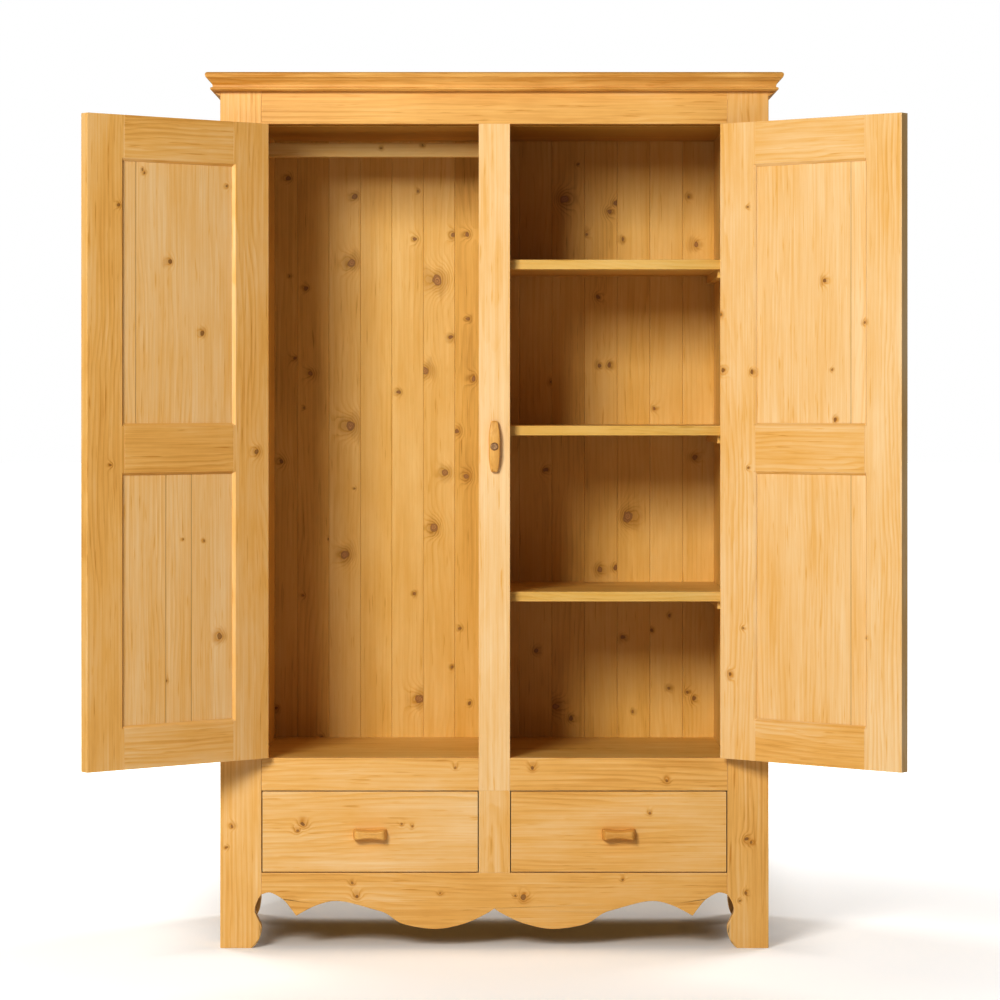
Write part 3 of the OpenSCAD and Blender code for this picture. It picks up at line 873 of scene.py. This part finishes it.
def rail_knots(*rows: tuple[float, float, float]) -> tuple[Knot, ...]:
    """Knots on a board that lies across the front, from x, z and radius in millimetres."""
    return tuple(Boards().knot(z, -x, radius) for x, z, radius in rows)


def post_knots(*rows: tuple[float, float, float]) -> tuple[Knot, ...]:
    """Knots on an upright board of the front, from x, z and radius in millimetres."""
    return tuple(Boards().knot(*row) for row in rows)


@dataclass
class FrontFrame:
    """Stiles with scrolled feet, post, rails and the scalloped apron."""

    shop: Workshop

    def dress(self) -> None:
        """Dresses each board of the front."""
        board = self.shop.board
        left_knots = post_knots((-585, 273, 3.1), (-597, 224, 2.4), (-560, 1700, 3))
        right_knots = post_knots((561, 242, 4), (572, 235, 3.1), (561, 124, 3.1), (548, 106, 2.4))
        # Each board's tone_and_light is partly its own tone and partly painted light and shading, set
        # to how bright it looks as lit
        board("left_front_stile", Grain.UPRIGHT, arris=0.0012, tone_and_light=0.02, knots=left_knots)
        board("right_front_stile", Grain.UPRIGHT, arris=0.0012, tone_and_light=0.07, knots=right_knots)
        board("centre_post", Grain.UPRIGHT, self.shop.panel_pine, arris=0.0010, tone_and_light=-0.17)
        board("drawer_muntin", Grain.UPRIGHT, tone_and_light=-0.05)
        board("header_rail", Grain.ACROSS, tone_and_light=0.1)
        mid_knots = rail_knots((-88, 403, 2.9), (84, 403, 4), (385, 374, 3.1))
        board("mid_rails", Grain.ACROSS, knots=mid_knots)
        apron_knots = rail_knots(
            (-318, 146, 2.4), (-307, 117, 4), (-121, 122, 2.4),
            (66, 113, 5.7), (46, 117, 3.1), (285, 153, 2.6),
        )
        board("apron", Grain.ACROSS, arris=0.0012, knots=apron_knots)


@dataclass
class Sides:
    """Rear posts, side frames with fielded panels, and the back."""

    shop: Workshop

    def dress(self) -> None:
        """Dresses each board of the sides and the back."""
        board = self.shop.board
        for side in ("left", "right"):
            board(f"{side}_rear_post", Grain.UPRIGHT, arris=0.0012)
            board(f"{side}_side_stiles", Grain.SIDE_UPRIGHT, arris=0.0010, boards=(0.0,))
            board(f"{side}_side_rails", Grain.SIDE_ALONG, boards=(0.6, 1.4))
            board(f"{side}_side_panels", Grain.SIDE_UPRIGHT, boards=(-0.05, 0.05))
        board("back_rails", Grain.ACROSS, boards=(0.6, 1.4))


@dataclass
class Inside:
    """Matchboard back and linings, partition, shelves, floor and rail."""

    shop: Workshop
    seam: float = -0.0192
    left_pitch: float = 0.0744
    right_pitch: float = 0.0774
    lining_boards: int = 6
    knot_size: float = 0.85

    def dress(self) -> None:
        """Dresses each board of the inside."""
        board, shaded_inner = self.shop.board, self.shop.shaded_inner_pine
        seams, knots = self.back_seams(), self.back_knots()
        board("back_boards", Grain.UPRIGHT, shaded_inner, arris=0.0, boards=seams, knots=knots)
        board("side_linings", Grain.SIDE_UPRIGHT, shaded_inner, arris=0.0, boards=self.lining_seams())
        board("partition", Grain.SIDE_UPRIGHT, shaded_inner, boards=(-0.09, 0.06))
        board("cabinet_floor", Grain.FLAT_ACROSS, shaded_inner, boards=(-0.08, 0.09))
        # The ceiling is set much darker: painted shadow, for the shadow it lies in under the header
        board("ceiling", Grain.FLAT_ACROSS, shaded_inner, tone_and_light=0.6, boards=(-0.07, 0.1))
        board("top_board", Grain.FLAT_ACROSS, boards=(-0.12, 0.04))
        for name in ("upper_shelf", "middle_shelf", "lower_shelf"):
            board(name, Grain.FLAT_ACROSS, shaded_inner, arris=0.0011, boards=(-0.06, 0.08))
        # The hanging rail is set paler: painted light, lifting it in the header's shadow that it hangs
        # in
        rail = rail_knots((-259, 1800, 2.6), (-164, 1806, 2.6))
        board("hanging_rail", Grain.ACROSS, shaded_inner, arris=0.0014, tone_and_light=-0.35, knots=rail)
        for name in ("shelf_cleats", "drawer_runners", "floor_bearers"):
            board(name, Grain.FLAT_ALONG, shaded_inner)

    def back_seams(self) -> Boards:
        """The seams between the boards of the back, outwards from the middle one.

        Returns:
            The boards, by their seams.
        """
        left = [self.seam - i * self.left_pitch for i in range(7)]
        right = [self.seam + i * self.right_pitch for i in range(1, 7)]
        return Boards(seams=tuple(sorted(left + right)))

    def lining_seams(self) -> Boards:
        """The boards of a lining, all of one width.

        Returns:
            The boards, by their pitch.
        """
        low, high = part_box("side_linings")
        depth = high.y - low.y
        return Boards(start=-depth / 2, pitch=depth / self.lining_boards)

    def back_knots(self) -> tuple[Knot, ...]:
        """The knots of the back, from x, z and radius in millimetres.

        Returns:
            The knots.
        """
        spots = [
            (-331, 1702, 7), (-338, 1546, 10), (-135, 1505, 14), (-188, 1602, 5), (-165, 1290, 10),
            (-49, 1273, 6.5), (-447, 1487, 5), (-484, 1515, 3), (-434, 1283, 7), (-341, 1161, 12),
            (-65, 1614, 6), (-97, 1612, 6), (-227, 1240, 5), (-89, 1147, 6), (-179, 1715, 3),
            (-488, 1747, 6), (-473, 1319, 5), (-451, 1204, 3), (-102, 1370, 5), (-63, 1414, 4),
            (-503, 1076, 6), (-354, 854, 11), (-144, 920, 10), (-392, 894, 3), (-67, 1041, 7),
            (-116, 1051, 8), (-189, 764, 4), (-177, 515, 11), (-453, 759, 3), (-515, 492, 5),
            (-410, 422, 4), (-59, 505, 4.5), (-329, 1012, 2.5), (-82, 682, 4), (-99, 590, 4),
            (165, 1696, 10), (289, 1688, 6), (273, 1667, 6), (477, 1589, 7), (245, 1465, 5),
            (272, 1304, 5), (248, 1304, 5), (303, 1601, 4), (219, 1615, 4), (379, 1202, 4.5),
            (134, 1264, 4), (459, 1703, 4), (198, 1778, 3), (316, 946, 13), (475, 1086, 7),
            (121, 1056, 6), (249, 821, 7), (287, 826, 6), (146, 497, 9), (182, 468, 5.5),
            (304, 659, 5.5), (370, 677, 4), (473, 516, 5), (456, 531, 4), (413, 539, 4),
            (99, 629, 6), (327, 485, 3.5), (413, 712, 4),
        ]
        boards, size = self.back_seams(), self.knot_size
        return tuple(boards.knot(across, along, size * radius) for across, along, radius in spots)


@dataclass
class Cornice:
    """The moulding round the top, in three lengths mitred at the corners."""

    shop: Workshop

    def dress(self) -> None:
        """Dresses the three lengths."""
        board, uneven = self.shop.board, replace(self.shop.pine, cloud_tone=1.1)
        board("cornice_front", Grain.ACROSS, uneven, arris=0.0005, tone_and_light=0.26)
        for side in ("left", "right"):
            board(f"{side}_cornice", Grain.SIDE_ALONG, uneven, arris=0.0005, tone_and_light=0.26)


@dataclass
class Door:
    """A framed door with two fielded panels, standing open on two butt hinges."""

    shop: Workshop
    side: str
    # Tones of the stiles, rails and panels: partly the boards' own tone, partly painted light and
    # shading, set to how bright each part looks as lit
    stile_tones_and_light: tuple[float, float]
    rail_tone_and_light: float
    panel_tone_and_light: float
    upper_seams: tuple[float, ...]
    lower_seams: tuple[float, ...]
    knots: tuple[tuple[float, float, float], ...]

    def dress(self) -> None:
        """Dresses the door's boards in its own turned frame, and its hinge leaves."""
        joint = self.shop.joints[f"{self.side}_door_swing"]
        open_angle = -math.radians(joint["range_deg"][0])
        turn = open_angle * joint["axis"][2]
        pin = Vector(joint["pos_m"])
        pin.z = 0.0
        lay = {"turn": turn, "pin": pin}
        board, own = self.shop.board, post_knots(*self.knots)
        for part, tone_and_light in zip(("hinge_stile", "closing_stile"), self.stile_tones_and_light):
            name = f"{self.side}_{part}"
            board(name, Grain.UPRIGHT, arris=0.0010, tone_and_light=tone_and_light, knots=own, **lay)
        rails = f"{self.side}_door_rails"
        board(rails, Grain.ACROSS, tone_and_light=self.rail_tone_and_light, boards=(0.7, 1.4), **lay)
        lay["tone_and_light"] = self.panel_tone_and_light
        for part, seams in (("upper_panel", self.upper_seams), ("lower_panel", self.lower_seams)):
            wood, joins = self.shop.panel_pine, Boards(seams=seams)
            own = tuple(joins.knot(*spot) for spot in self.knots)
            name = f"{self.side}_{part}"
            board(name, Grain.UPRIGHT, wood, boards=joins, knots=own, **lay)
        for part in ("door_leaves", "door_screws"):
            name = f"{self.side}_{part}"
            dress(self.shop.nodes[name], self.shop.brass.material(f"brass_{name}"))


@dataclass
class Drawer:
    """A drawer: front, box and bottom as cut, and a carved pull with sloping sides."""

    shop: Workshop
    side: str
    # Tone of the front: partly its own, partly painted light and shading
    tone_and_light: float = 0.0
    knots: tuple[tuple[float, float, float], ...] = ()
    ease: float = 0.0055
    squareness: float = 0.27
    root: tuple[float, float] = (0.0140, 0.0094)
    face: tuple[float, float] = (0.0124, 0.0076)
    slope: float = 0.0055
    hollow: float = 0.0007
    around: int = 96

    def dress(self) -> None:
        """Dresses the drawer's boards."""
        board = self.shop.board
        knots = rail_knots(*self.knots)
        front = f"{self.side}_drawer_front"
        board(front, Grain.ACROSS, arris=0.0010, tone_and_light=self.tone_and_light, knots=knots)
        board(f"{self.side}_drawer_box", Grain.SIDE_ALONG, self.shop.shaded_inner_pine)
        board(f"{self.side}_drawer_bottom", Grain.FLAT_ACROSS, self.shop.shaded_inner_pine)

    def carve_pull(self) -> bpy.types.Object:
        """Carves the pull.

        Each ring is a squared oval: length times cos to a small power, height times sin to the
        same power. The height swells with the square of the place along the length, so top
        and bottom are waisted. Rings shrink evenly from the root to the face, the last ones
        along a quarter circle that rounds the arris, and the face is slightly hollow.

        Returns:
            The pull, which stands for the CAD one.
        """
        name = f"{self.side}_drawer_pull"
        low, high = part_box(name)
        centre, reach = (low + high) / 2, high.y - low.y
        half = (high.x - low.x) / 2
        (root_end, root_waist), (face_end, face_waist) = self.root, self.face
        face_half = half - self.slope
        rise = np.linspace(0, 1, 9)
        corner = np.linspace(0, np.pi / 2, 7)[1:]
        flank = reach - self.ease
        depth = np.concatenate([rise * flank, flank + self.ease * np.sin(corner)])
        inset = np.concatenate([0 * rise, self.ease * (1 - np.cos(corner))])
        face = np.linspace(1, 0.1, 7)[1:]
        share = (depth / reach)[:, None]
        angle = np.linspace(0, 2 * np.pi, self.around, endpoint=False)
        along = soft_power(np.cos(angle), self.squareness)
        up = soft_power(np.sin(angle), self.squareness)
        long = half + (face_half - half) * share - inset[:, None]
        end = root_end + (face_end - root_end) * share - inset[:, None]
        waist = root_waist + (face_waist - root_waist) * share - inset[:, None]
        x = long * along
        z = (waist + (end - waist) * along**2) * up
        y = high.y - depth[:, None] + 0 * angle
        hollow = self.hollow * (1 - face[:, None] ** 2) + 0 * angle
        x = centre.x + np.concatenate([x, x[-1] * face[:, None]])
        y = np.concatenate([y, low.y + hollow])
        z = centre.z + np.concatenate([z, z[-1] * face[:, None]])
        grid = np.stack([x, y, z], axis=-1)
        piece = grid_piece(f"{self.side}_carved_pull", grid)
        self.shop.carved_wood(piece, Grain.ACROSS, centre)
        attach(piece, f"{self.side}_drawer")
        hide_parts(name)
        return piece


@dataclass
class TurnButton:
    """The wooden turn-button with its cup washer and slotted screw."""

    shop: Workshop
    half_flat: float = 0.022
    end_width: float = 0.0072
    end_depth: float = 0.0110
    ease: float = 0.0034
    squareness: float = 0.42
    around: int = 72

    def carve_button(self) -> bpy.types.Object:
        """Carves the button.

        Each ring lies across the bar: a squared oval whose half width and depth are full along
        the middle and fall off smoothly to the blunt ends.

        Returns:
            The button, which stands for the CAD one.
        """
        low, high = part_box("turn_button")
        centre = (low + high) / 2
        half, wide, deep = (high.z - low.z) / 2, (high.x - low.x) / 2, high.y - low.y
        rows = np.concatenate([np.linspace(0, 1, 40), 1 + np.linspace(0, 1, 8)[1:]])
        rows = np.concatenate([-rows[:0:-1], rows])
        level = np.clip(np.abs(rows), 0, 1)
        tip = np.clip(np.abs(rows) - 1, 0, 1)
        z = np.sign(rows) * (level * (half - self.ease) + self.ease * np.sin(tip * np.pi / 2))
        slope = np.clip((np.abs(z) - self.half_flat) / (half - self.half_flat), 0, 1)
        width = wide + (self.end_width - wide) * slope**1.5
        thick = deep + (self.end_depth - deep) * slope**1.15
        shrink = self.ease * (1 - np.cos(tip * np.pi / 2))
        angle = np.linspace(0, 2 * np.pi, self.around, endpoint=False)
        x = (width - shrink)[:, None] * soft_power(np.cos(angle), self.squareness)
        y = (thick / 2 - shrink)[:, None] * soft_power(np.sin(angle), self.squareness)
        y = high.y - (thick / 2)[:, None] + y
        grid = np.stack([centre.x + x, y, centre.z + z[:, None] + 0 * angle], axis=-1)
        piece = grid_piece("carved_button", grid)
        self.shop.carved_wood(piece, Grain.UPRIGHT, centre)
        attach(piece, "turn_button")
        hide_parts("turn_button")
        return piece

    def turn_washer(self) -> bpy.types.Object:
        """Turns the cup washer: a thin rim, a rolled ridge and a dished middle.

        A profile point (radius, depth) becomes a circle of that radius in X and Z, that depth in
        front of the washer's back.

        Returns:
            The washer, which stands for the CAD one.
        """
        low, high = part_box("button_cup_washer")
        centre = (low + high) / 2
        outer, rise = (high.x - low.x) / 2, high.y - low.y
        roll = np.linspace(np.pi, 0, 12)
        ridge = np.stack([0.66 - 0.2 * np.cos(np.pi - roll), 0.55 + 0.45 * np.sin(roll)], axis=1)
        rim = [(0.4, 0.0), (0.97, 0.0), (1.0, 0.12), (0.97, 0.3)]
        dish = [(0.44, 0.35), (0.4, 0.2)]
        shape = np.concatenate([rim, ridge[np.argsort(-ridge[:, 0])], dish]) * (outer, rise)
        angle = np.linspace(0, 2 * np.pi, 64, endpoint=False)
        radius, depth = shape[:, :1], shape[:, 1:]
        x, z = centre.x + radius * np.cos(angle), centre.z + radius * np.sin(angle)
        grid = np.stack([x, high.y - depth + 0 * angle, z], axis=-1)
        piece = grid_piece("cup_washer", grid)
        smooth_shade(piece, 60.0)
        dress(piece, self.shop.bronze.material("bronze_cup_washer"))
        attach(piece, "turn_button")
        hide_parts("button_cup_washer")
        return piece

    def dress(self) -> None:
        """Dresses the screw."""
        dress(self.shop.nodes["button_screw"], self.shop.bronze.material("bronze_screw"))


@dataclass
class Hinges:
    """The leaves, pins and screws that stay on the frame."""

    shop: Workshop

    def dress(self) -> None:
        """Dresses the metal on the frame."""
        for name in ("frame_hinge_leaves", "hinge_pins", "frame_hinge_screws"):
            dress(self.shop.nodes[name], self.shop.brass.material(f"brass_{name}"))


# ---- studio


@dataclass
class Studio:
    """A pale floor, soft lights and a level camera.

    A light's box is its width and its power; the key's angles are in degrees.
    """

    distance: float = 7.8
    eye: float = 1.2215
    lens: float = 126.0
    shift: tuple[float, float] = (0.0056, -0.1)
    stand: tuple[float, float] = (0.60, 0.06)
    # Painted glow of the floor near the wardrobe, as a share of full white
    floor_lift: float = 0.36
    film_gamma: float = 0.78
    key_aside: float = 22.0
    key_up: float = 22.0
    key_distance: float = 6.0
    key_box: tuple[float, float] = (1.7, 278.0)
    fill_box: tuple[float, float] = (2.5, 125.0)
    fill_place: tuple[float, float, float] = (3.4, 3.4, 4.2)
    surround: tuple[float, float] = (0.13, 1.0)
    centre: Vector = field(default_factory=lambda: Vector((0.0, 0.0, 1.0)))

    def floor(self) -> None:
        """Lays the floor: a wide round disc, which the camera sees with a painted glow added to its
        paint.
        """
        angle = np.linspace(0, 2 * np.pi, 96, endpoint=False)
        radius = np.array([[0.001], [2.0], [6.0], [20.0], [60.0]])
        grid = np.stack([radius * np.cos(angle), radius * np.sin(angle), 0 * radius * angle], axis=-1)
        _, quads = grid_faces(*grid.shape[:2])
        floor = mesh_piece("floor", grid.reshape(-1, 3), quads[:, ::-1].tolist())
        g = Graph(bpy.data.materials.new("floor_paint_and_glow"))
        spot = g.node("ShaderNodeTexCoord").outputs["Object"]
        x, y, _ = g.parts(spot)
        # Painted light: the camera sees the floor glow, not at all over the wardrobe's footprint,
        # floor_lift within 0.9 m and full white from 3 m out, so it reads white while the real shadows
        # by the wardrobe stay
        past_side = g.minus(g.math("ABSOLUTE", x), self.stand[0])
        past_front = g.minus(-self.stand[1], y)
        glow_outside = g.step(g.math("MAXIMUM", past_side, past_front), -0.16, 0.22)
        glow_by_distance = g.step(g.vector("LENGTH", spot), 0.9, 3.0, self.floor_lift, 1.0)
        paint = g.node("ShaderNodeBsdfPrincipled")
        g.feed(paint.inputs["Base Color"], (0.86, 0.85, 0.84))
        g.feed(paint.inputs["Roughness"], 0.9)
        bright = g.wired("ShaderNodeEmission", WHITE, g.times(glow_by_distance, glow_outside))
        paint_with_glow = g.wired("ShaderNodeAddShader", paint.outputs[0], bright.outputs[0])
        g.shown(paint.outputs[0], paint_with_glow.outputs[0], "ShaderNodeOutputMaterial")
        dress(floor, g.owner)

    def area_light(self, name: str, place: Vector, size: float, watts: float, colour: Colour) -> None:
        """Hangs a square soft box that points at the wardrobe.

        Args:
            name: the light's name.
            place: where it hangs.
            size: its width.
            watts: its power.
            colour: its colour.
        """
        data = bpy.data.lights.new(name, "AREA")
        data.shape = "SQUARE"
        data.size = size
        data.energy = watts
        data.color = colour
        light = bpy.data.objects.new(name, data)
        light.location = place
        light.rotation_euler = (self.centre - place).to_track_quat("-Z", "Y").to_euler()
        bpy.context.scene.collection.objects.link(light)

    def lights(self) -> None:
        """Hangs the lights and sets the white surround."""
        aside, up = math.radians(self.key_aside), math.radians(self.key_up)
        level = Vector((-math.sin(aside), -math.cos(aside), 0.0)) * math.cos(up)
        key = self.centre + self.key_distance * (level + Vector((0.0, 0.0, math.sin(up))))
        self.area_light("key", key, *self.key_box, (1.0, 0.985, 0.96))
        x, y, z = self.fill_place
        for name, side in (("left_back_fill", -1.0), ("right_back_fill", 1.0)):
            self.area_light(name, Vector((side * x, y, z)), *self.fill_box, WHITE)
        bpy.context.scene.world = bpy.data.worlds.new("surround")
        g = Graph(bpy.context.scene.world)
        lit, seen = (g.wired("ShaderNodeBackground", WHITE, power) for power in self.surround)
        g.shown(lit.outputs[0], seen.outputs[0], "ShaderNodeOutputWorld")

    def camera(self, front: float) -> None:
        """Sets up the level camera in front of the wardrobe.

        Args:
            front: where the front face is.
        """
        data = bpy.data.cameras.new("camera")
        data.lens = self.lens
        data.sensor_width = 36.0
        data.shift_x, data.shift_y = self.shift
        camera = bpy.data.objects.new("camera", data)
        camera.location = (0.0, front - self.distance, self.eye)
        camera.rotation_euler = (math.pi / 2, 0.0, 0.0)
        bpy.context.scene.collection.objects.link(camera)
        bpy.context.scene.camera = camera

    def colours(self) -> None:
        """Shows colours as they are, with a little more contrast."""
        settings = bpy.context.scene.view_settings
        settings.view_transform = "Standard"
        settings.gamma = self.film_gamma


# The knots of each door, as x, z and radius in millimetres from its pin
LEFT_DOOR_KNOTS = (
    (262, 1523, 4.5), (177, 1369, 5.2), (328, 1714, 3), (335, 1720, 2.4),
    (110, 1692, 3), (400, 1640, 3.6), (129, 702, 6.5), (272, 613, 2.6),
    (171, 914, 2.6), (228, 917, 2.2), (421, 1082, 2.8), (34, 1106, 5.5),
)
RIGHT_DOOR_KNOTS = (
    (-278, 1481, 4.4), (-383, 1388, 3.2), (-9, 1288, 5), (-88, 1283, 4),
    (-304, 1180, 4.2), (-77, 1649, 3), (-28, 614, 4), (-77, 1073, 2.9),
    (-4, 1411, 2.9), (-64, 718, 2.6), (-388, 710, 2.4), (-297, 1287, 2.4),
)


def main() -> None:
    """Builds and dresses the wardrobe, part by part."""
    logging.basicConfig(level=logging.INFO, format="%(name)s: %(message)s")
    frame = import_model()
    shop = Workshop(frame["nodes"], {joint["name"]: joint for joint in frame["joints"]})
    parts = [FrontFrame(shop), Sides(shop), Inside(shop), Cornice(shop), Hinges(shop)]
    # The doors' tones hold painted light as well as the boards' own tone: stiles and panels are set
    # paler to match how bright they look as lit
    parts += [
        Door(shop, "left", (-0.07, 0.02), 0.06, -0.17, (0.351,), (0.205, 0.2725), LEFT_DOOR_KNOTS),
        Door(shop, "right", (-0.2, -0.24), -0.04, -0.18, (-0.346,), (-0.346,), RIGHT_DOOR_KNOTS),
    ]
    left_knots = ((-428, 277, 4.4), (-440, 262, 3.3), (-208, 276, 2.4), (-184, 271, 2.4))
    # The drawers' fronts are set paler: partly their own tone, partly painted light
    drawers = [Drawer(shop, "left", -0.1, left_knots), Drawer(shop, "right", -0.02, ((345, 302, 3.1),))]
    button = TurnButton(shop)
    for part in [*parts, *drawers, button]:
        part.dress()
        LOG.info("dressed %s", type(part).__name__)
    for piece in [drawer.carve_pull() for drawer in drawers]:
        LOG.info("carved %s", piece.name)
    for piece in (button.carve_button(), button.turn_washer()):
        LOG.info("made %s", piece.name)

    studio = Studio()
    studio.floor()
    studio.lights()
    studio.camera(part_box("header_rail")[0].y)
    studio.colours()


if __name__ == "__main__":
    main()
